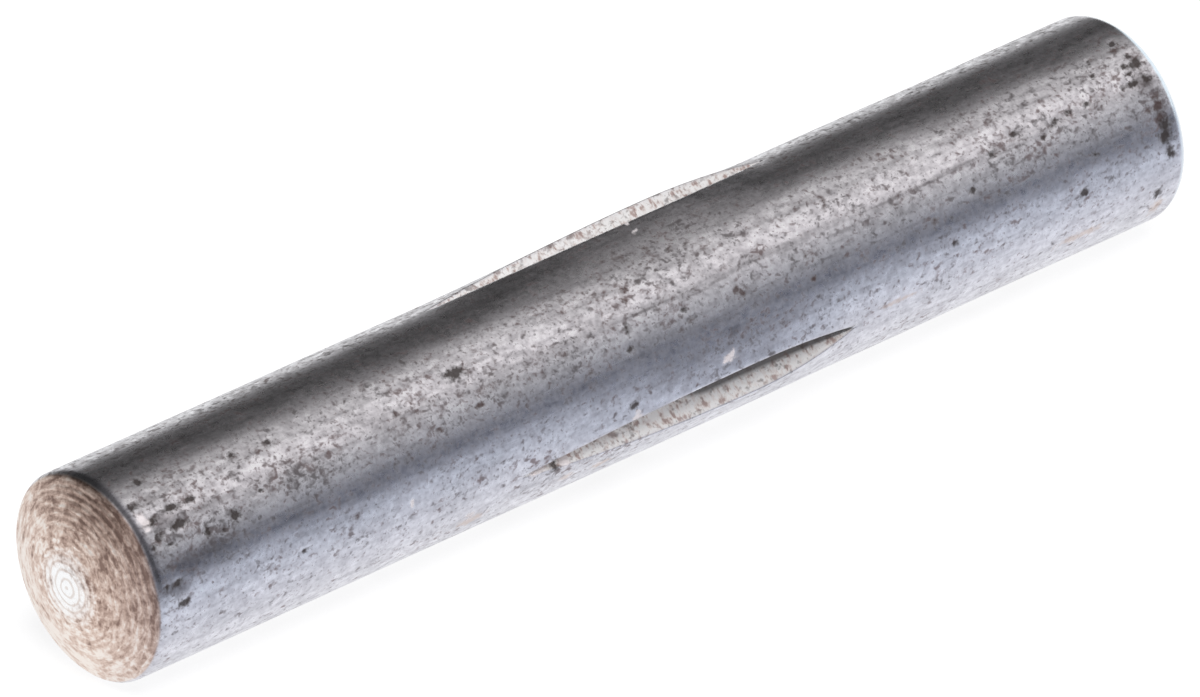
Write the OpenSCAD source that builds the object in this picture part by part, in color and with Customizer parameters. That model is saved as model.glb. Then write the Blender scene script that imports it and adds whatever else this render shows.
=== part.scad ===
// Grooved pin: a hardened steel pin with domed ends and short grooves round its middle.
// Each groove is a V pressed into the shank. The metal that it pushes aside stands up as a lip
// along both of its edges, so that the pin is wider there than the hole that it is driven into.
//
// The pin lies along X with its middle at the origin, in millimetres. Each groove is drawn on
// top of the pin (+Z) with its deepest point at x = 0, and is then turned and moved to its place.

/* [Shank] */
// Diameter of the plain shank
pin_d = 5; // [4:0.5:10]
// Length over both domed ends
pin_l = 32; // [24:1:80]

/* [Ends] */
// Radius of the dome that closes each end
dome_r = 5.2; // [3:0.1:12]
// Radius of the rounded edge between shank and dome, on the -X end
near_edge_r = 0.24; // [0.1:0.01:0.6]
// Radius of the rounded edge between shank and dome, on the +X end
far_edge_r = 0.3; // [0.1:0.01:0.6]

/* [Grooves] */
// Number of grooves round the pin
groove_n = 3; // [2:1:4]
// Length of a groove along the pin
groove_l = 10; // [7:0.1:14]
// Place of the groove's middle along the pin, from the pin's own middle
groove_x = 0.3; // [-4:0.1:4]
// Distance from the groove's middle to its deepest point, towards the +X end
deepest_x = 1.9; // [0.1:0.1:2.5]
// Depth of the groove at its deepest point, below the plain shank
groove_depth = 0.58; // [0.3:0.01:0.8]
// Angle between the two flanks of the groove
groove_angle = 60; // [50:1:80]
// Width of the narrow flat along the bottom of the groove
bottom_w = 0.06; // [0.04:0.01:0.2]
// Turn of the first groove about the pin, from straight up towards +Y
groove_clock = 17.5; // [0:0.5:90]

/* [Lips] */
// Height of the lips over the plain shank, beside the deepest point
lip_h = 0.18; // [0.08:0.01:0.25]
// How far the shank also swells all round, at the middle of the grooves' length
barrel_h = 0.01; // [0.005:0.005:0.03]

/* [Hidden] */

pin_r = pin_d / 2;
steel = [0.62, 0.64, 0.68];

// Facets round a whole circle, and along each half of a groove
round_fn = 96;
bow_steps = 20;

// The foot of the raised metal starts this far under the shank, so that the faces cross cleanly
foot_sink = 0.01;
// The top of the raised metal starts this far over the lips, so that the groove takes it all away
top_spare = 0.04;
// How far the barrel and the raised metal run on past the groove's ends
overrun = 0.3;

// Length of a groove from its deepest point to its end, on the +X side (1) or the -X side (-1)
function reach(side) = groove_l / 2 - side * deepest_x;

// Height over the pin's axis at which the two flanks would meet, below the flat bottom
flank_a = groove_angle / 2;
flanks_meet = pin_r - groove_depth - bottom_w / 2 / tan(flank_a);

// The lips stand where the flanks come out through the circle of the lips' height. lip_a is
// their angle round the pin from the middle of the groove.
lip_r = pin_r + lip_h;
lip_a = flank_a - asin(flanks_meet * sin(flank_a) / lip_r);

// Behind each lip the metal falls away to the shank, which it meets at its foot. foot_a is the
// angle round the pin from the middle of the groove to the foot.
foot_r = pin_r + barrel_h - foot_sink;
foot_a = lip_a + acos(foot_r / lip_r);

// A slice round the origin between two angles, at least r long
module slice(from_a, to_a, r) {
    polygon([[0, 0], 2 * r * [cos(from_a), sin(from_a)], 2 * r * [cos(to_a), sin(to_a)]]);
}

// Radius of the arc that drops by sag over a length of half_chord from its top
function arc_r(half_chord, sag) = (half_chord * half_chord + sag * sag) / (2 * sag);

// The area under an arc whose top is at the origin, over a length that starts at from_x
module under_arc(from_x, length, r, depth) {
    intersection() {
        translate([0, -r]) circle(r, $fn = bow_steps * 360 / asin(length / r));
        translate([from_x, -depth]) square([length, depth]);
    }
}

// Distance along the pin from a domed tip to the centre of its rounded edge
function edge_x(edge_r) = dome_r - sqrt(pow(dome_r - edge_r, 2) - pow(pin_r - edge_r, 2));

// Half the outline of an end: its dome, up to where the rounded edge takes over, and the edge.
// The tip is at the origin and the pin runs towards +X.
module end_outline(edge_r) {
    touch_a = asin((pin_r - edge_r) / (dome_r - edge_r));
    translate([dome_r, 0])
        intersection() {
            circle(dome_r, $fn = 4 * round_fn);
            slice(180 - touch_a, 180, dome_r);
        }
    translate([edge_x(edge_r), pin_r - edge_r]) circle(edge_r, $fn = round_fn);
}

// The blank before grooving: one outline turned about the pin's axis
module blank() {
    shank_from = edge_x(near_edge_r) - pin_l / 2;
    shank_to = pin_l / 2 - edge_x(far_edge_r);
    barrel_l = groove_l + 2 * overrun;
    rotate([0, 90, 0])
        rotate_extrude($fn = round_fn)
            rotate(90) {
                translate([shank_from, 0]) square([shank_to - shank_from, pin_r]);
                translate([groove_x, pin_r + barrel_h])
                    under_arc(-barrel_l / 2, barrel_l, arc_r(barrel_l / 2, barrel_h), pin_r / 2);
                translate([-pin_l / 2, 0]) end_outline(near_edge_r);
                mirror([1, 0]) translate([-pin_l / 2, 0]) end_outline(far_edge_r);
            }
}

// The part of a disc under its own top, from the deepest point to one end of the groove
module half_bow(side, sag) {
    length = reach(side) + overrun;
    under_arc(side > 0 ? 0 : -length, length, arc_r(reach(side), sag), 2 * pin_d);
}

// All the space on one side of a face that is bowed along the groove. facing is the way that the
// face looks, as an angle round the pin from straight up, and from_axis is its distance from the
// pin's axis beside the deepest point. It falls back by sag on its way to each end of the groove.
module bowed(facing, from_axis, sag) {
    rotate([-facing, 0, 0])
        translate([0, 0, from_axis])
            rotate([90, 0, 0])
                linear_extrude(height = 4 * pin_d, center = true) {
                    half_bow(-1, sag);
                    half_bow(1, sag);
                }
}

// The metal raised on both sides of a groove. It stands on the line between its two feet.
module raised() {
    foot_z = foot_r * cos(foot_a);
    top_z = lip_r * cos(lip_a) + top_spare;
    intersection() {
        intersection_for (way = [-1, 1])
            bowed(way * foot_a, foot_r, foot_r * lip_h / lip_r);
        bowed(0, top_z, lip_h * cos(lip_a) + top_spare);
        translate([-pin_l / 2, -pin_r, foot_z]) cube([pin_l, pin_d, pin_r]);
    }
}

// What the tool presses out: a V with a narrow flat bottom, which keeps its width and its angle
// while it runs out at both ends
module pressed_out() {
    intersection() {
        intersection_for (way = [-1, 1])
            bowed(way * (90 + flank_a), -flanks_meet * sin(flank_a), groove_depth * sin(flank_a));
        bowed(180, groove_depth - pin_r, groove_depth);
    }
}

// Puts what is drawn on top of the pin at each groove's place
module each_groove() {
    for (i = [0 : groove_n - 1])
        rotate([-groove_clock - 360 / groove_n * i, 0, 0])
            translate([groove_x + deepest_x, 0, 0])
                children();
}

module grooved_pin() {
    color(steel)
        difference() {
            union() {
                blank();
                each_groove() raised();
            }
            each_groove() pressed_out();
        }
}

grooved_pin();
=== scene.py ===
"""Looks of the grooved pin: its surface with fine relief, its worn bare steel, a plain studio.

Lengths are in millimetres, and MM turns them into metres. A place on the pin is x, along its
axis, and turn, the angle round the axis from +Z towards +Y.
"""
import math

import bpy
import numpy as np
from mathutils import Matrix, Vector


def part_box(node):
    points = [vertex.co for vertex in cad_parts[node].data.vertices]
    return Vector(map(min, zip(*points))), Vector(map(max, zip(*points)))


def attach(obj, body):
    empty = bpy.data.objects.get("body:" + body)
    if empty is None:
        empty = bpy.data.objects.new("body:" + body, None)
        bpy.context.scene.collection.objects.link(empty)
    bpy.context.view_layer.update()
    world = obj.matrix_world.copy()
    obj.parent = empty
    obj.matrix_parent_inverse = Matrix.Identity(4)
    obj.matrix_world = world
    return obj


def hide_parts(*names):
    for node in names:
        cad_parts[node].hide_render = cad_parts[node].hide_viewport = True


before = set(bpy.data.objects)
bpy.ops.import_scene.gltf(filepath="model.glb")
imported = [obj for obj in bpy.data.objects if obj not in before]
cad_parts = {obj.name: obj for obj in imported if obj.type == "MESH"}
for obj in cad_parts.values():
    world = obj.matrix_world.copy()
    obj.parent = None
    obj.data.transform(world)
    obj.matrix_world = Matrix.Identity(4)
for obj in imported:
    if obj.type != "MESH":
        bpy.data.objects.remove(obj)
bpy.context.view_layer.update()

# ---------------------------------------------------------------- sizes of the pin
NODE = "grooved_pin"
MM = 0.001
low, high = (np.array(corner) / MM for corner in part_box(NODE))
PIN_L = high[0] - low[0]
PIN_R = 2.5
DOME_R = 5.2
NEAR_EDGE_R = 0.24
FAR_EDGE_R = 0.30

GROOVES = 3
GROOVE_CLOCK = math.radians(17.5)
DEEPEST_X = 2.2
REACH_NEAR = 6.9                    # from the deepest point to a groove's two tips
REACH_FAR = 3.1
GROOVE_DEPTH = 0.58
FLANK = math.radians(30)            # half the angle between a groove's flanks
BOTTOM_W = 0.06
LIP_H = 0.18
BARREL_H = 0.01
SWELL_WIDTH = math.radians(25)      # the raised metal runs out this far behind a lip
FLANKS_MEET = PIN_R - GROOVE_DEPTH - BOTTOM_W / 2 / math.tan(FLANK)

LIP_ROUND = 0.012
BOTTOM_ROUND = 0.02
CUT_FADE = 0.04                     # a groove is fully shaded as cut this far under its lip

# Fine relief
PIT_DEPTH = 0.014
RUST_DEPTH = 0.006
PALE_DEPTH = 0.004
WAVES, WAVE_H = 14, 0.0024
CHATTER_H, CHATTER_PITCH = 0.004, 0.21
RINGS_H, RINGS_PITCH = 0.0022, 0.13

# ---------------------------------------------------------------- camera
PHOTO_W, PHOTO_H = 1200, 697
SENSOR = 36.0
LENS = 756.16
FOCAL_PX = LENS / SENSOR * PHOTO_W
AZIMUTH = math.radians(-41.63)
ELEVATION = math.radians(30.466)
PIN_IN_VIEW = (0.1736, -0.1014, 565.92)     # right, down and away from the camera

RIGHT = np.array([math.cos(AZIMUTH), math.sin(AZIMUTH), 0.0])
AWAY = np.array([-math.sin(AZIMUTH) * math.cos(ELEVATION),
                 math.cos(AZIMUTH) * math.cos(ELEVATION), -math.sin(ELEVATION)])
DOWN = np.cross(AWAY, RIGHT)
EYE = -(PIN_IN_VIEW[0] * RIGHT + PIN_IN_VIEW[1] * DOWN + PIN_IN_VIEW[2] * AWAY)

PX_ACROSS = FOCAL_PX / PIN_IN_VIEW[2]       # pixels in a millimetre, across the pin and along it
PX_ALONG = FOCAL_PX / PIN_IN_VIEW[2] * math.sin(math.acos(abs(AWAY[0])))
FRONT = math.atan2(-AWAY[1], -AWAY[2])      # the turn that faces the camera


def make_camera():
    cam = bpy.data.cameras.new("camera")
    cam.sensor_width = SENSOR
    cam.lens = LENS
    cam.clip_start, cam.clip_end = 0.05, 20
    holder = bpy.data.objects.new("camera", cam)
    bpy.context.scene.collection.objects.link(holder)
    turn = Matrix((RIGHT, -DOWN, -AWAY)).transposed()
    holder.matrix_world = Matrix.Translation(Vector(EYE * MM)) @ turn.to_4x4()
    bpy.context.scene.camera = holder


def on_side(px, py):
    """The x and turn of the point of the pin's side that the photograph shows at a pixel."""
    ray = (px - PHOTO_W / 2) / FOCAL_PX * RIGHT + (py - PHOTO_H / 2) / FOCAL_PX * DOWN + AWAY
    a = ray[1] ** 2 + ray[2] ** 2
    b = EYE[1] * ray[1] + EYE[2] * ray[2]
    c = EYE[1] ** 2 + EYE[2] ** 2 - PIN_R ** 2
    t = (-b - math.sqrt(max(b * b - a * c, 0))) / a
    p = EYE + t * ray
    return p[0], math.atan2(p[1], p[2])


# ---------------------------------------------------------------- short forms
def rising(value, start, width):
    """0 up to start, then evenly up to 1 over this width."""
    return np.clip((value - start) / width, 0, 1)


def falling(value, end, width):
    """1 at first, then evenly down over this width to 0 at end."""
    return np.clip((end - value) / width, 0, 1)


def soft_max(a, b, w):
    return 0.5 * (a + b + np.sqrt((a - b) ** 2 + w * w))


def between(turn, other):
    """From the other turn to this one, at most half a turn either way."""
    return np.angle(np.exp(1j * (turn - other)))


# ---------------------------------------------------------------- the shape of a groove
def fullness(x):
    """1 where the grooves are deepest, 0 at their tips, and below 0 beyond them."""
    s = x - DEEPEST_X
    return 1 - (s / np.where(s < 0, REACH_NEAR, REACH_FAR)) ** 2


def flank_offset(full):
    """How far the planes of a groove's flanks pass from the pin's axis."""
    return math.sin(FLANK) * (FLANKS_MEET + GROOVE_DEPTH * (1 - full))


def lip_turn(full):
    """How far a groove's lip lies from its middle."""
    share = flank_offset(full) / (PIN_R + LIP_H * full)
    return FLANK - np.arcsin(np.minimum(share, math.sin(FLANK)))


def groove_r(x, off):
    """(radius, 1 where it is cut, share of the full depth) at x and off a groove's middle."""
    full = np.clip(fullness(x), 0, 1)
    off = np.abs(off)
    behind = rising(off, lip_turn(full), SWELL_WIDTH)
    outer = PIN_R + BARREL_H * full + (LIP_H - BARREL_H) * full * (1 - behind) ** 2
    flank = flank_offset(full) / np.sin(np.maximum(FLANK - off, 0.02))
    bottom = (PIN_R - GROOVE_DEPTH * full) / np.cos(off)
    cut = soft_max(flank, bottom, BOTTOM_ROUND * full)
    radius = -soft_max(-outer, -cut, LIP_ROUND * np.sqrt(full))
    depth = rising(outer, cut, CUT_FADE) * (full > 0)
    deepest = (GROOVE_DEPTH + LIP_H) * np.maximum(full, 0.01)
    return radius, depth, rising(outer, cut, deepest) * depth


def key_turns(x):
    """The turns where a groove's bottom, lip and swell end at x, up to half way to the next."""
    full = max(float(fullness(x)), 0.0)
    bottom = math.atan(BOTTOM_W / 2 / (PIN_R - GROOVE_DEPTH * full))
    edge = max(float(lip_turn(full)), bottom + math.radians(0.3))
    return np.array([0, bottom, edge, edge + SWELL_WIDTH, math.pi / GROOVES])


# ---------------------------------------------------------------- marks read from the photograph
# The marks that stand out, read from enlarged crops of the photograph. Each is
# (photo x, photo y, length along the pin, width across it), in pixels of the photograph.
PITS = (
    (454, 373, 19, 11), (992, 154, 7, 7), (1085, 192, 9, 7), (633, 404, 8, 6), (651, 417, 9, 5),
    (555, 465, 7, 9), (133, 507, 14, 7), (172, 507, 16, 6), (150, 522, 15, 8), (159, 537, 8, 12),
    (180, 524, 17, 8), (153, 549, 7, 6), (171, 544, 7, 4), (190, 499, 10, 5), (137, 482, 9, 6),
    (178, 583, 9, 7), (185, 602, 14, 6), (167, 587, 5, 5), (267, 442, 6, 6), (261, 490, 6, 4),
    (236, 515, 9, 9), (231, 454, 7, 5), (225, 530, 6, 5), (207, 531, 5, 9), (305, 551, 9, 4),
    (1135, 63, 13, 10), (1146, 79, 8, 10), (1134, 83, 10, 6), (1123, 66, 6, 5), (1128, 56, 6, 4),
    (1123, 88, 6, 4), (1129, 74, 5, 4), (1166, 124, 11, 12), (1166, 137, 11, 12),
    (1171, 152, 7, 11), (1112, 44, 8, 6), (1158, 193, 8, 6), (1054, 122, 7, 6), (1069, 112, 8, 6),
    (1014, 134, 8, 6), (1087, 104, 6, 5), (1088, 62, 5, 4), (1093, 76, 5, 4), (1043, 138, 6, 5),
    (1095, 155, 5, 5), (955, 243, 6, 5), (973, 190, 6, 5), (627, 329, 5, 12), (631, 349, 7, 6),
    (683, 310, 8, 4))
RUST = (
    (1158, 105, 11, 10), (1161, 117, 12, 10), (1155, 96, 8, 6), (1150, 110, 7, 6),
    (1116, 50, 9, 6), (736, 290, 8, 7), (742, 293, 5, 10), (563, 354, 7, 6), (669, 250, 6, 5),
    (645, 249, 9, 5), (620, 259, 10, 5), (691, 320, 7, 5), (624, 291, 8, 5), (624, 300, 3, 20),
    (822, 200, 6, 6), (823, 209, 6, 5), (935, 222, 9, 7), (865, 259, 5, 5), (813, 279, 6, 5),
    (804, 255, 4, 7), (560, 300, 6, 5), (590, 372, 5, 5), (357, 516, 7, 5), (396, 415, 7, 5),
    (480, 405, 8, 5), (440, 430, 8, 5))
PALE = (
    (727, 357, 14, 7), (566, 459, 11, 9), (634, 417, 10, 12), (650, 424, 15, 5),
    (655, 421, 6, 5), (541, 470, 26, 4), (142, 520, 13, 12), (148, 530, 8, 5), (620, 224, 5, 4),
    (627, 230, 5, 3), (635, 235, 6, 3), (413, 503, 4, 8), (470, 515, 9, 4))
TAN = (
    (565, 476, 14, 4), (1156, 206, 12, 10), (470, 520, 30, 5), (600, 462, 20, 4),
    (900, 300, 40, 4), (1080, 235, 50, 5))
# Areas with more small specks of rust than the rest
SPECKLED = (
    (737, 335, 50, 18), (683, 222, 40, 14), (660, 262, 60, 16), (170, 530, 90, 60),
    (1145, 100, 40, 80), (480, 395, 120, 30), (225, 525, 70, 40), (1060, 130, 110, 40),
    (560, 470, 40, 14), (655, 415, 60, 14), (300, 470, 90, 30), (600, 455, 80, 16))
# Smudges and scratches
DARK_STREAKS = (
    (165, 520, 30, 22), (190, 560, 36, 20), (178, 590, 26, 12), (150, 500, 20, 10),
    (215, 545, 30, 16), (735, 330, 20, 8), (1142, 82, 20, 30), (1166, 130, 12, 50),
    (674, 299, 26, 3), (718, 280, 22, 3), (528, 365, 14, 3), (890, 201, 34, 3),
    (924, 184, 40, 3), (845, 230, 60, 4), (790, 250, 40, 3), (820, 262, 34, 3),
    (640, 313, 30, 2), (960, 165, 40, 2), (1010, 150, 40, 3), (700, 292, 20, 3))
# Lines along the pin's whole length: (degrees from the front, width in degrees, strength)
DRAW_LINES = (
    (24.6, 1.7, 0.75), (8.3, 1.5, 1.0), (52, 2.0, 0.5), (-26, 2.0, 0.3), (150, 2.5, 0.8),
    (192, 2.0, 0.6), (228, 1.6, 0.8))
EDGE_FALL = 0.69                    # about half of a mark's strength is left at its stated edge
STREWN_FALL = 2.8
LEAST_SQUEEZE = 0.35                # keeps marks near the outline from growing too wide
MARKED_R = 2.3                      # the pits, rust, scars and stains stay outside this radius


def marks(places, x, turn):
    """0 to 1 at each vertex: how far it lies within the nearest of these marks."""
    worth = np.zeros(len(x))
    for px, py, length, width in places:
        x0, turn0 = on_side(px, py)
        squeeze = max(math.cos(turn0 - FRONT), LEAST_SQUEEZE)
        along = (x - x0) * PX_ALONG / (length / 2)
        aside = between(turn, turn0) * PIN_R
        across = aside * PX_ACROSS * squeeze / (width / 2)
        worth = np.maximum(worth, np.exp(-EDGE_FALL * (along ** 2 + across ** 2)))
    return worth


def hidden_marks(count, size, seed, stretch=1, squeeze=1):
    """Marks in millimetres, strewn over the side that the photograph doesn't show."""
    rng = np.random.default_rng(seed)
    out = []
    for _ in range(count):
        place = rng.uniform(-15, 15), FRONT + rng.uniform(0.55, 1.45) * math.pi
        length, width = rng.uniform(0.6, 1.6) * size, rng.uniform(0.4, 1.1) * size
        out.append((*place, stretch * length, squeeze * width))
    return out


def strewn(places, x, turn):
    """As marks, for places given as (x, turn, length, width)."""
    worth = np.zeros(len(x))
    for x0, turn0, length, width in places:
        aside = between(turn, turn0) * PIN_R
        far = ((x - x0) / length) ** 2 + (aside / width) ** 2
        worth = np.maximum(worth, np.exp(-STREWN_FALL * far))
    return worth


def draw_lines(turn):
    worth = np.zeros(len(turn))
    for degrees, width, strength in DRAW_LINES:
        aside = np.degrees(between(turn - FRONT, math.radians(degrees)))
        worth = np.maximum(worth, strength * np.exp(-(aside / width) ** 2))
    return worth


def side_marks(x, turn, radius):
    """The strength of each kind of mark at every vertex, by name."""
    on_shank = radius > MARKED_R
    pits = np.maximum(marks(PITS, x, turn), strewn(hidden_marks(60, 0.22, 3), x, turn))
    rust = np.maximum(marks(RUST, x, turn), strewn(hidden_marks(50, 0.24, 4), x, turn))
    scratches = hidden_marks(24, 0.5, 5, stretch=3, squeeze=0.2)
    return {"pits": pits * on_shank, "rust": rust * on_shank,
            "pale": marks(PALE, x, turn) * on_shank, "tan": marks(TAN, x, turn) * on_shank,
            "streak": np.maximum(marks(DARK_STREAKS, x, turn), strewn(scratches, x, turn)),
            "lined": draw_lines(turn), "speckled": marks(SPECKLED, x, turn)}


# ---------------------------------------------------------------- the mesh of the pin
HALF_COUNTS = (1, 9, 12, 18)        # columns over the bottom, flank, swell and plain arc
SPACINGS = ("even", "both", "start", "even")
HALF = sum(HALF_COUNTS)
TIP_FADE = 1.5                      # beyond a groove's tip its columns spread out again
NEAR_FACE, FAR_FACE, EDGE_STEPS = 96, 26, 8
SHANK_STEP = 0.1
THINNING = ((0.3, 8), (0.6, 4), (1.25, 2))      # below a radius, one column in so many is kept

# Where the looks of the ends begin and stop
RINGS_R = 2.40
NEAR_FACE_R, FAR_FACE_R = 2.455, 2.35
NEAR_RIM_R, NEAR_RIM_X = 2.445, -15.12
FAR_RIM_R, FAR_RIM_X = 2.31, 15.21
RIM_MIDDLE, RIM_HALF = math.radians(28), math.radians(56)   # where the near rim is painted with a dark reflection
RIM_FADE = math.radians(26)


def eased(count, kind):
    """Shares up to 1 of a stretch of columns: even, or closer at both ends or at its start."""
    t = np.arange(1, count + 1) / count
    if kind == "both":
        return (1 - np.cos(np.pi * t)) / 2
    return t ** 1.4 if kind == "start" else t


def half_turns(x):
    """Turns of the columns over half a groove's share of the pin, from its middle out."""
    even = np.arange(HALF + 1) / HALF * math.pi / GROOVES
    s = x - DEEPEST_X
    beyond = abs(s) - (REACH_NEAR if s < 0 else REACH_FAR) * 0.985
    spread = min(max(beyond / TIP_FADE, 0), 1)
    spread = spread * spread * (3 - 2 * spread)
    if spread == 1:
        return even
    keys = key_turns(x)
    turns = [np.zeros(1)]
    for i, (count, kind) in enumerate(zip(HALF_COUNTS, SPACINGS)):
        turns.append(keys[i] + (keys[i + 1] - keys[i]) * eased(count, kind))
    return spread * even + (1 - spread) * np.concatenate(turns)


def row_turns(x):
    """(turn, off) of every column at x. off is the turn from the nearest groove's middle."""
    half = half_turns(x)
    off = np.tile(np.concatenate([half[:-1], -half[:0:-1]]), GROOVES)
    middle = np.arange(GROOVES) * 2 * math.pi / GROOVES
    nearest = np.repeat(np.stack([middle, middle + 2 * math.pi / GROOVES], 1).ravel(), HALF)
    return GROOVE_CLOCK + nearest + off, off


def end_rows(edge_r, face_steps):
    """(distance in from the end, radius) from next to the pole out to the shank."""
    centre_r = PIN_R - edge_r
    centre_x = DOME_R - math.sqrt((DOME_R - edge_r) ** 2 - centre_r ** 2)
    tangent_r = centre_r * DOME_R / (DOME_R - edge_r)
    r = np.linspace(0, tangent_r, face_steps + 1)[1:]
    face = np.stack([DOME_R - np.sqrt(DOME_R ** 2 - r ** 2), r], 1)
    start = math.atan2(centre_r, math.sqrt((DOME_R - edge_r) ** 2 - centre_r ** 2))
    a = np.linspace(start, math.pi / 2, EDGE_STEPS + 1)[1:]
    edge = np.stack([centre_x - edge_r * np.cos(a), centre_r + edge_r * np.sin(a)], 1)
    return np.concatenate([face, edge])


def shank_rows(start, stop):
    count = int(round((stop - start) / SHANK_STEP))
    return np.linspace(start, stop, count + 1)[1:-1]


def all_rows():
    """(x, radius, end) of every row of vertices. end is -1 near, 0 on the shank and 1 far."""
    near = end_rows(NEAR_EDGE_R, NEAR_FACE)
    far = end_rows(FAR_EDGE_R, FAR_FACE)[::-1]
    x_near, x_far = -PIN_L / 2 + near[-1, 0], PIN_L / 2 - far[0, 0]
    rows = [(-PIN_L / 2 + d, r, -1.0) for d, r in near]
    rows += [(x, PIN_R, 0.0) for x in shank_rows(x_near, x_far)]
    return rows + [(PIN_L / 2 - d, r, 1.0) for d, r in far]


def row_points(x, r, end):
    """A row's vertices, one to a line: x, turn, radius, cut, root, end."""
    if not end:
        turn, off = row_turns(x)
        here = np.full(len(turn), x)
        return np.stack([here, turn, *groove_r(here, off), np.zeros(len(turn))], 1)
    thin = next((every for below, every in THINNING if r < below), 1)
    turn = row_turns(x)[0][::thin]
    here, radius, uncut = np.full(len(turn), x), np.full(len(turn), r), np.zeros(len(turn))
    return np.stack([here, turn, radius, uncut, uncut, np.full(len(turn), end)], 1)


def waves(x, turn, height, seed):
    """A slow unevenness, as drawn bar has."""
    rng = np.random.default_rng(seed)
    out = np.zeros(len(x))
    for _ in range(WAVES):
        around, along = rng.integers(2, 9), rng.uniform(-1.6, 1.6)
        out += math.sqrt(2 / WAVES) * np.sin(around * turn + along * x + rng.uniform(0, 6.28))
    return height * out


def worn_radius(x, turn, radius, cut, shown):
    """The radius with the bar's waves, the depth of its marks and the chatter in its grooves."""
    relief = waves(x, turn, WAVE_H, 8) - PIT_DEPTH * shown["pits"] - RUST_DEPTH * shown["rust"]
    relief = relief - PALE_DEPTH * shown["pale"]
    radius = radius + rising(radius, 2.2, 0.2) * relief
    phase = 2 * math.pi * x / CHATTER_PITCH + 2.2 * np.sin(9 * radius + 1.3 * x)
    return radius + CHATTER_H * cut * np.sin(phase + np.sin(2.7 * x))


def end_marks(x, turn, radius, end):
    """The near rim's painted dark reflection, the far rim's painted highlight and the end faces, by
    name.
    """
    near_face = (end < 0) * falling(radius, NEAR_FACE_R, 0.02)
    far_face = (end > 0) * falling(radius, FAR_FACE_R, 0.05)
    near_rim = rising(radius, NEAR_RIM_R, 0.02) * falling(x, NEAR_RIM_X, 0.12)
    # A painted dark reflection on the near rim, round the turns next to the one facing the camera
    reflects_dark = falling(np.abs(between(turn - FRONT, RIM_MIDDLE)), RIM_HALF, RIM_FADE)
    # A painted highlight round the far rim
    far_rim = rising(x, FAR_RIM_X, 0.05) * rising(radius, FAR_RIM_R, 0.05)
    return {"rim_dark_reflection": near_rim * reflects_dark, "far_edge_highlight": far_rim, "face": near_face + far_face}


def turned_rings(turn, radius, end):
    """How far the turned rings of the near face lie in from its dome, along the axis."""
    on_near = (end < 0) * falling(radius, RINGS_R, 0.1)
    phase = 2 * math.pi * radius / RINGS_PITCH + 0.9 * np.sin(2 * turn + 1)
    ring = np.sin(phase + 1.4 * np.sin(2.3 * radius))
    return on_near * RINGS_H * ring * np.clip(radius / 0.1, 0, 1)


def band(a, na, b, nb):
    """Faces between two neighbouring rows; one may have half the columns of the other."""
    if na == nb:
        return [(a + j, a + (j + 1) % na, b + (j + 1) % nb, b + j) for j in range(na)]
    out = []
    if na < nb:
        for j in range(na):
            k0, k1, k2 = b + 2 * j, b + 2 * j + 1, b + (2 * j + 2) % nb
            a0, a1 = a + j, a + (j + 1) % na
            out += [(a0, k1, k0), (a0, a1, k1), (a1, k2, k1)]
    else:
        for j in range(nb):
            k0, k1, k2 = a + 2 * j, a + 2 * j + 1, a + (2 * j + 2) % na
            b0, b1 = b + j, b + (j + 1) % nb
            out += [(k0, k1, b0), (b0, k1, b1), (k1, k2, b1)]
    return out


def all_faces(counts):
    """Faces between rows with so many columns each, and a fan round each pole."""
    first = [sum(counts[:i]) for i in range(len(counts))]
    faces = []
    for i in range(len(counts) - 1):
        faces += band(first[i], counts[i], first[i + 1], counts[i + 1])
    poles, n0, n1 = sum(counts), counts[0], counts[-1]
    faces += [(poles, (j + 1) % n0, j) for j in range(n0)]
    faces += [(poles + 1, first[-1] + j, first[-1] + (j + 1) % n1) for j in range(n1)]
    return faces


def pin_mesh(places, faces, shown):
    """The mesh, which carries the strength of what it shows at each vertex, by name."""
    mesh = bpy.data.meshes.new("pin_surface")
    mesh.from_pydata(places.tolist(), [], faces)
    mesh.shade_smooth()
    for name, values in shown.items():
        carried = mesh.attributes.new(name, "FLOAT", "POINT")
        carried.data.foreach_set("value", values.astype(np.float32))
    return mesh


def make_pin():
    rows = [row_points(*row) for row in all_rows()]
    poles = np.array([[-PIN_L / 2, 0, 0, 0, 0, -1], [PIN_L / 2, 0, 0, 0, 0, 1]], float)
    x, turn, radius, cut, root, end = np.concatenate(rows + [poles]).T

    shown = side_marks(x, turn, radius)
    radius = worn_radius(x, turn, radius, cut, shown)
    shown["cut"] = cut
    # How strongly a groove's root gets its painted shade
    shown["root"] = root * np.clip((x + 1.4) / 2.4, 0.25, 1)    # faint towards the near tip
    shown.update(end_marks(x, turn, radius, end))
    x = x + turned_rings(turn, radius, end)

    places = np.stack([x, radius * np.sin(turn), radius * np.cos(turn)], 1) * MM
    mesh = pin_mesh(places, all_faces([len(row) for row in rows]), shown)
    pin = bpy.data.objects.new("pin_surface", mesh)
    bpy.context.scene.collection.objects.link(pin)
    return pin


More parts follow.
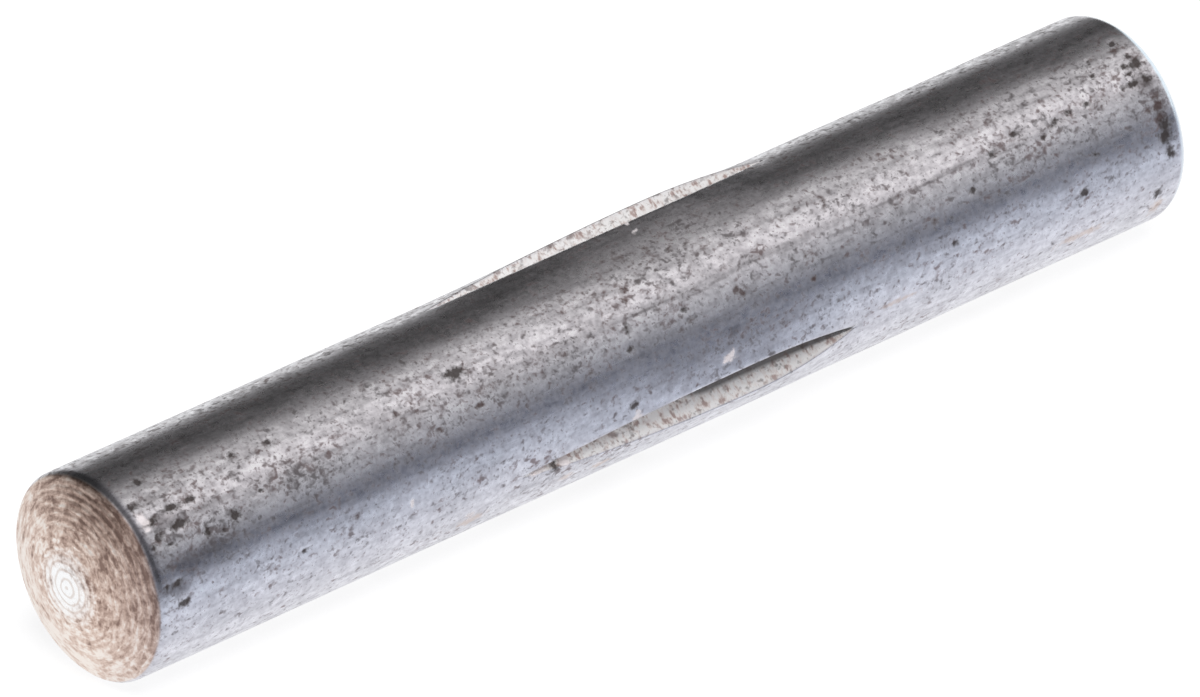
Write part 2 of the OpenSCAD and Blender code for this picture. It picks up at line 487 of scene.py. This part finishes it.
# ---------------------------------------------------------------- node helpers
class Nodes:
    """Short calls for building a node tree."""

    def __init__(self, tree):
        self.tree = tree
        tree.nodes.clear()

    def new(self, kind, inputs=None, **settings):
        node = self.tree.nodes.new("ShaderNode" + kind)
        for name, value in settings.items():
            setattr(node, name, value)
        for name, value in (inputs or {}).items():
            self.put(value, node.inputs[name])
        return node

    def put(self, value, socket):
        if isinstance(value, bpy.types.NodeSocket):
            self.tree.links.new(value, socket)
        elif socket.type == "RGBA":
            socket.default_value = colour(value)
        else:
            socket.default_value = value

    def math(self, operation, *values):
        node = self.new("Math", operation=operation)
        for i, value in enumerate(values):
            self.put(value, node.inputs[i])
        return node.outputs[0]

    def times(self, a, b):
        return self.math("MULTIPLY", a, b)

    def times_plus(self, a, b, c):
        return self.math("MULTIPLY_ADD", a, b, c)

    def ramp(self, factor, stops):
        node = self.new("ValToRGB", {"Fac": factor})
        ramp = node.color_ramp
        ramp.interpolation = "LINEAR"
        while len(ramp.elements) > 1:
            ramp.elements.remove(ramp.elements[-1])
        ramp.elements[0].position = stops[0][0]
        ramp.elements[0].color = colour(stops[0][1])
        for position, value in stops[1:]:
            ramp.elements.new(position).color = colour(value)
        return node.outputs["Color"]

    def mix(self, factor, a, b, blend="MIX"):
        node = self.new("Mix", data_type="RGBA", blend_type=blend)
        for i, value in ((0, factor), (6, a), (7, b)):
            self.put(value, node.inputs[i])
        return node.outputs[2]

    def link(self, output, socket):
        self.tree.links.new(output, socket)

    def blend(self, factor, a, b):
        node = self.new("MixShader", {"Fac": factor})
        self.link(a.outputs[0], node.inputs[1])
        self.link(b.outputs[0], node.inputs[2])
        return node

    def scaled(self, vector, x, y, z):
        """Coordinates in millimetres, each stretched by its own factor."""
        return self.new("Mapping", {"Vector": vector, "Scale": (x / MM, y / MM, z / MM)}).outputs[0]

    def noise(self, vector, scale, detail=2.0, rough=0.5, warp=0.0):
        node = self.new("TexNoise", {"Vector": vector, "Scale": scale, "Detail": detail,
                                     "Roughness": rough, "Distortion": warp})
        return node.outputs[0]

    def carried(self, name):
        """What the mesh carries under this name."""
        return self.new("Attribute", attribute_name=name).outputs["Fac"]


def colour(value):
    if isinstance(value, (int, float)):
        return (value, value, value, 1)
    return (*value, 1)


# ---------------------------------------------------------------- the studio
# The sky round the pin's axis: (degrees from +Z towards -Y, light). White is its brightest.
SKY = (
    (-180, (0.60, 0.64, 0.70)), (-92, (1.0, 1.0, 1.0)), (-85, (0.95, 0.97, 1.0)),
    (-80, (0.058, 0.052, 0.055)), (-66, (0.045, 0.040, 0.043)), (-31, (0.045, 0.040, 0.042)),
    (-23, (0.105, 0.100, 0.103)), (-13, (0.58, 0.57, 0.58)), (0, (0.71, 0.70, 0.71)),
    (14, (0.85, 0.83, 0.85)), (28, (0.84, 0.81, 0.83)), (34, (0.66, 0.64, 0.66)),
    (40, (0.56, 0.56, 0.585)), (54, (0.455, 0.46, 0.49)), (66, (0.31, 0.32, 0.36)),
    (76, (0.136, 0.144, 0.184)), (83, (0.048, 0.056, 0.084)), (89, (0.048, 0.056, 0.084)),
    (92, (0.50, 0.54, 0.62)), (180, (0.60, 0.64, 0.70)))
GAP_LIGHT = 0.32                    # share of the sky's light between its two soft boxes
BOXES = ((0.16, 1.0), (0.30, GAP_LIGHT), (0.62, GAP_LIGHT), (0.72, 1.0))
BEYOND_LIGHT = (0.85, 0.93, 1.0)    # in the direction of the pin's far end
LEAST_LIGHT = 0.044

# The floor as metal mirrors it, over CARD_SPAN from the camera's side of the pin to behind it
CARD_SPAN = 120
CARD = (
    (0.00, (0.18, 0.19, 0.24)), (0.30, (0.40, 0.43, 0.51)), (0.40, (0.55, 0.60, 0.70)),
    (0.44, (0.63, 0.68, 0.775)), (0.47, (0.75, 0.78, 0.85)), (0.50, (0.97, 0.98, 0.99)),
    (0.56, (0.96, 0.98, 1.0)), (1.00, (0.97, 0.99, 1.0)))
FLOOR_Z = -PIN_R - BARREL_H
FLOOR_HALF = 3000
FLOOR_LIT, FLOOR_GLOW = 0.30, 0.82  # to the camera: near white in all, less in the pin's shadow
FLOOR_MATT = 0.8                    # to the light that comes off matt surfaces

LAMP_TOWARDS = (-0.15, -0.35, 0.92)
LAMP_DISTANCE, LAMP_SIZE = 300, 250
LAMP_WATTS = 0.85


def make_world():
    """A soft sky over the pin, darker towards the horizon and between two soft boxes."""
    world = bpy.data.worlds.new("studio")
    bpy.context.scene.world = world
    world.use_nodes = True
    n = Nodes(world.node_tree)
    towards = n.new("TexCoord").outputs["Generated"]
    part = n.new("SeparateXYZ", {"Vector": towards}).outputs
    angle = n.math("ARCTAN2", n.times(part["Y"], -1.0), part["Z"])
    place = n.times_plus(angle, 0.5 / math.pi, 0.5)
    light = n.ramp(place, [(degrees / 360 + 0.5, value) for degrees, value in SKY])
    boxes = n.ramp(n.times_plus(part["X"], 0.5, 0.5), BOXES)
    up = n.math("GREATER_THAN", part["Z"], 0.0)
    light = n.mix(1.0, light, n.mix(up, 1.0, boxes), "MULTIPLY")
    beyond = n.ramp(part["X"], [(0.76, 0.0), (0.88, 1.0)])
    light = n.mix(beyond, light, BEYOND_LIGHT)
    light = n.mix(1.0, light, LEAST_LIGHT, "LIGHTEN")
    seen = n.new("LightPath").outputs["Is Camera Ray"]
    background = n.new("Background", {"Color": n.mix(seen, light, 1.0), "Strength": 1.0})
    n.link(background.outputs[0], n.new("OutputWorld").inputs["Surface"])


def floor_material():
    """The camera sees it white but for the pin's shadow, and metal mirrors it as a lit white
    card whose light falls off with distance."""
    material = bpy.data.materials.new("white_floor")
    material.use_nodes = True
    n = Nodes(material.node_tree)
    path = n.new("LightPath").outputs
    mirrored = n.math("MAXIMUM", path["Is Glossy Ray"], path["Is Transmission Ray"])
    place = n.new("NewGeometry").outputs["Position"]
    across = n.new("SeparateXYZ", {"Vector": place}).outputs["Y"]
    card = n.ramp(n.times_plus(across, 1 / MM / CARD_SPAN, 0.5), CARD)
    plain = n.new("BsdfDiffuse", {"Color": FLOOR_MATT})
    lit = n.new("BsdfDiffuse", {"Color": FLOOR_LIT})
    glow = n.new("Emission", {"Color": 1.0, "Strength": FLOOR_GLOW})
    shown = n.new("AddShader")
    n.link(lit.outputs[0], shown.inputs[0])
    n.link(glow.outputs[0], shown.inputs[1])
    first = n.blend(path["Is Camera Ray"], plain, shown)
    second = n.blend(mirrored, first, n.new("Emission", {"Color": card, "Strength": 1.0}))
    n.link(second.outputs[0], n.new("OutputMaterial").inputs["Surface"])
    return material


def make_floor():
    size, z = FLOOR_HALF * MM, FLOOR_Z * MM
    mesh = bpy.data.meshes.new("floor")
    mesh.from_pydata([(-size, -size, z), (size, -size, z), (size, size, z), (-size, size, z)],
                     [], [(0, 1, 2, 3)])
    mesh.materials.append(floor_material())
    floor = bpy.data.objects.new("floor", mesh)
    bpy.context.scene.collection.objects.link(floor)


def make_lamp():
    """One large soft box overhead. It lights what is matt, and the metal mirrors the sky."""
    data = bpy.data.lights.new("soft_box", "AREA")
    data.shape = "DISK"
    data.size = LAMP_SIZE * MM
    data.energy = LAMP_WATTS
    lamp = bpy.data.objects.new("soft_box", data)
    bpy.context.scene.collection.objects.link(lamp)
    towards = Vector(LAMP_TOWARDS).normalized()
    lamp.location = towards * (LAMP_DISTANCE * MM)
    lamp.rotation_mode = "QUATERNION"
    lamp.rotation_quaternion = towards.to_track_quat("Z", "Y")
    lamp.visible_glossy = False


# ---------------------------------------------------------------- the steel
# Each ramp is a row of (value of the noise, colour or share)
BARE = ((0.34, (0.78, 0.75, 0.765)), (0.50, (0.89, 0.865, 0.88)), (0.66, (0.96, 0.94, 0.955)))
GRAIN = ((0.30, 0.82), (0.50, 1.0), (0.70, 1.12))
CLOUDS = ((0.36, 0.84), (0.62, 1.10))
DRAWN = ((0.36, 0.70), (0.46, 1.0), (0.62, 1.06))
DRAW_LINE = (0.20, 0.188, 0.195)
CALM_STEEL = (0.775, 0.75, 0.80)
SPECK_TINTS = ((0.40, (0.17, 0.135, 0.13)), (0.60, (0.27, 0.165, 0.15)))
PRESSED = ((0.34, (0.52, 0.40, 0.37)), (0.44, (0.90, 0.85, 0.82)), (0.54, (1.0, 0.985, 0.97)))
# Painted shade deep in the grooves' roots
GROOVE_ROOT_SHADE = (0.16, 0.15, 0.15)
SMUDGE = (0.24, 0.215, 0.22)
TAN_STAIN = (0.80, 0.63, 0.53)
RUST_BROWN = (0.14, 0.082, 0.07)
PIT_BROWN = (0.09, 0.07, 0.062)
PALE_SCAR = (0.86, 0.79, 0.79)
# A painted dark reflection on the near rim's rounded edge
RIM_DARK_REFLECTION = (0.19, 0.19, 0.225)
# A painted highlight: the pale edge round the far end
FAR_EDGE_HIGHLIGHT = (0.94, 0.98, 1.0)
TAN_RUST = (
    (0.34, (0.30, 0.20, 0.165)), (0.43, (0.58, 0.42, 0.35)), (0.51, (0.82, 0.65, 0.56)),
    (0.61, (1.0, 0.91, 0.84)))
SCORED = ((0.0, (0.82, 0.75, 0.71)), (0.38, (1.0, 0.99, 0.985)))
SCORED_PITCH = 0.19
BUMP_DISTANCE = 2.0e-6              # in metres


class Steel(Nodes):
    """The node tree of the pin's worn bare steel."""

    def __init__(self, tree):
        super().__init__(tree)
        place = self.new("TexCoord").outputs["Object"]
        self.place = place
        self.spot = self.scaled(place, 1, 1, 1)             # one unit is a millimetre
        self.along = self.scaled(place, 0.7, 1, 1)          # grain drawn out along the pin
        self.lines = self.scaled(place, 0.07, 1, 1)         # long thin draw marks
        part = self.new("SeparateXYZ", {"Vector": self.spot}).outputs
        self.y, self.z = part["Y"], part["Z"]
        self.mottle = self.noise(self.along, 5.5, 2, 0.55, 0.2)
        self.grain = self.noise(self.spot, 9.5, 1.2, 0.5)

    def bare(self):
        """Clouds, draw marks and a fine grain, calmer towards the underside."""
        clouds = self.noise(self.scaled(self.place, 0.32, 1, 1), 2.2, 3, 0.6)
        drawn = self.noise(self.lines, 7.0, 3, 0.6)
        base = self.ramp(self.mottle, BARE)
        base = self.mix(0.8, base, self.ramp(self.grain, GRAIN), "MULTIPLY")
        base = self.mix(0.8, base, self.ramp(clouds, CLOUDS), "MULTIPLY")
        base = self.mix(0.4, base, self.ramp(drawn, DRAWN), "MULTIPLY")
        broken = self.ramp(self.noise(self.lines, 5.0, 3, 0.6), [(0.34, 0.10), (0.58, 0.42)])
        base = self.mix(self.times(self.carried("lined"), broken), base, DRAW_LINE)
        calm = self.ramp(self.times_plus(self.z, 0.2, 0.5), [(0.50, 0.30), (0.74, 0.0)])
        return self.mix(calm, base, CALM_STEEL)

    def specks(self):
        """Where small rust specks are: in clusters, and fewer on the underside."""
        crowd = self.times_plus(self.noise(self.along, 0.9, 2, 0.5), 0.20, -0.125)
        crowd = self.times_plus(self.z, 0.013, crowd)
        crowd = self.times_plus(self.carried("speckled"), 0.075, crowd)
        coarse = self.noise(self.scaled(self.place, 0.8, 1, 1), 7.0, 2, 0.5, 0.3)
        fine = self.noise(self.spot, 13.0, 1.0, 0.5)
        coarse_mask = self.ramp(self.math("ADD", crowd, coarse), [(0.545, 0.0), (0.72, 0.95)])
        fine_mask = self.ramp(self.math("ADD", crowd, fine), [(0.60, 0.0), (0.76, 0.75)])
        return self.math("MAXIMUM", coarse_mask, fine_mask)

    def mark(self, name, ragged, low, high):
        """Where the mesh carries such marks, with ragged edges."""
        value = self.carried(name)
        rough_edge = self.times_plus(ragged, 0.6, value)
        shown = self.ramp(rough_edge, [(low, 0.0), (high, 1.0)])
        return self.times(shown, self.math("GREATER_THAN", value, 0.04))

    def pressed(self, crosswise):
        """The faces of the grooves: brighter, with crosswise marks, and with painted shade at the
        root.
        """
        root_shade = self.ramp(self.carried("root"), [(0.47, 0.0), (0.60, 0.85)])
        return self.mix(root_shade, self.ramp(crosswise, PRESSED), GROOVE_ROOT_SHADE)

    def rust_coat_and_shade(self, radius, rings):
        """The thin tan rust on the end faces, blotched and dashed round the axis, with painted
        shade that darkens it towards +Z and -Y.
        """
        safe = self.math("ADD", radius, 0.25)
        rounds = self.new("CombineXYZ", {"X": self.times(self.math("DIVIDE", self.y, safe), 2.5),
                                         "Y": self.times(self.math("DIVIDE", self.z, safe), 2.5),
                                         "Z": self.times(radius, 3.4)}).outputs[0]
        dashes = self.noise(rounds, 2.4, 3, 0.65, 0.4)
        blotch = self.noise(self.spot, 2.4, 4, 0.7)
        coat = self.times_plus(blotch, 0.45, self.times(dashes, 0.55))
        coat = self.times_plus(rings, 0.020, coat)
        coat = self.times_plus(self.grain, 0.12, self.math("ADD", coat, -0.06))
        # Painted shade: the coat is darker towards +Z and -Y
        towards_shade = self.times_plus(self.y, -0.6, self.times(self.z, 0.8))
        return self.times_plus(towards_shade, -0.048, coat)

    def end_face(self):
        """(colour, coat, worn) of the ends: turned rings under the coat, bare at the middle."""
        squares = self.math("ADD", self.times(self.y, self.y), self.times(self.z, self.z))
        radius = self.math("SQRT", squares)
        phase = self.times(radius, 2 * math.pi / SCORED_PITCH)
        wobble = self.noise(self.spot, 1.5, 3, 0.6)
        rings = self.math("SINE", self.times_plus(wobble, 8.0, phase))
        coat = self.rust_coat_and_shade(radius, rings)
        worn = self.times_plus(coat, -0.8, self.times_plus(radius, 0.5, 0.5))
        worn = self.ramp(worn, [(0.29, 1.0), (0.60, 0.0)])
        scored = self.ramp(self.times_plus(rings, 0.5, 0.5), SCORED)
        return self.mix(worn, self.ramp(coat, TAN_RUST), scored), coat, worn


def make_steel():
    material = bpy.data.materials.new("worn_bare_steel")
    material.use_nodes = True
    n = Steel(material.node_tree)
    ragged = n.times_plus(n.noise(n.spot, 6.5, 2.5, 0.6), 2.4, -1.2)
    pits, rust = n.mark("pits", ragged, 0.22, 0.72), n.mark("rust", ragged, 0.22, 0.80)
    pale, tan = n.mark("pale", ragged, 0.34, 0.70), n.mark("tan", ragged, 0.30, 0.85)
    streak = n.mark("streak", ragged, 0.25, 0.80)
    specks = n.specks()
    speck_tint = n.ramp(n.noise(n.spot, 1.7, 1, 0.5), SPECK_TINTS)
    cut, rim_dark_reflection, far_edge_highlight, face = (n.carried(name) for name in ("cut", "rim_dark_reflection", "far_edge_highlight", "face"))
    crosswise = n.noise(n.scaled(n.place, 1.3, 0.8, 0.8), 5.0, 2.5, 0.6)
    face_base, coat, worn = n.end_face()

    base = n.mix(cut, n.bare(), n.pressed(crosswise))
    # Over the steel come real marks, then the painted dark reflection on the near rim and the
    # painted highlight round the far rim
    for mask, share, over in (
            (specks, 0.7, speck_tint), (streak, 0.5, SMUDGE), (tan, 0.6, TAN_STAIN),
            (rust, 0.8, RUST_BROWN), (pits, 0.88, PIT_BROWN), (pale, 0.8, PALE_SCAR),
            (rim_dark_reflection, 0.65, RIM_DARK_REFLECTION), (far_edge_highlight, 0.9, FAR_EDGE_HIGHLIGHT)):
        base = n.mix(n.times(mask, share), base, over)
    base = n.mix(face, base, face_base)

    matt = n.math("MAXIMUM", pits, rust)
    dull = n.math("MAXIMUM", matt, specks)
    rough = n.ramp(n.mottle, [(0.35, 0.40), (0.65, 0.27)])
    rough = n.mix(cut, rough, 0.42)
    rough = n.mix(face, rough, n.mix(worn, 0.42, 0.22))
    rough = n.mix(dull, rough, 0.55)
    rough = n.mix(far_edge_highlight, rough, 0.22)
    metal = n.times_plus(pale, -0.7, n.times_plus(matt, -0.1, 1.0))
    metal = n.times_plus(cut, -0.5, metal)

    height = n.times_plus(n.grain, 0.4, n.times(n.mottle, 0.3))
    height = n.times_plus(dull, -0.4, height)
    height = n.times_plus(n.times(face, coat), 0.9, height)
    height = n.times_plus(n.times(cut, crosswise), 2.0, height)
    bump = n.new("Bump", {"Strength": 1.0, "Distance": BUMP_DISTANCE, "Height": height})
    steel = n.new("BsdfPrincipled", {"Base Color": base, "Metallic": metal, "Roughness": rough,
                                     "Normal": bump.outputs[0]})
    n.link(steel.outputs[0], n.new("OutputMaterial").inputs["Surface"])
    return material


make_camera()
pin = make_pin()
pin.data.materials.append(make_steel())
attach(pin, "root")
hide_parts(NODE)
make_world()
make_floor()
make_lamp()
bpy.context.scene.view_settings.view_transform = "Standard"
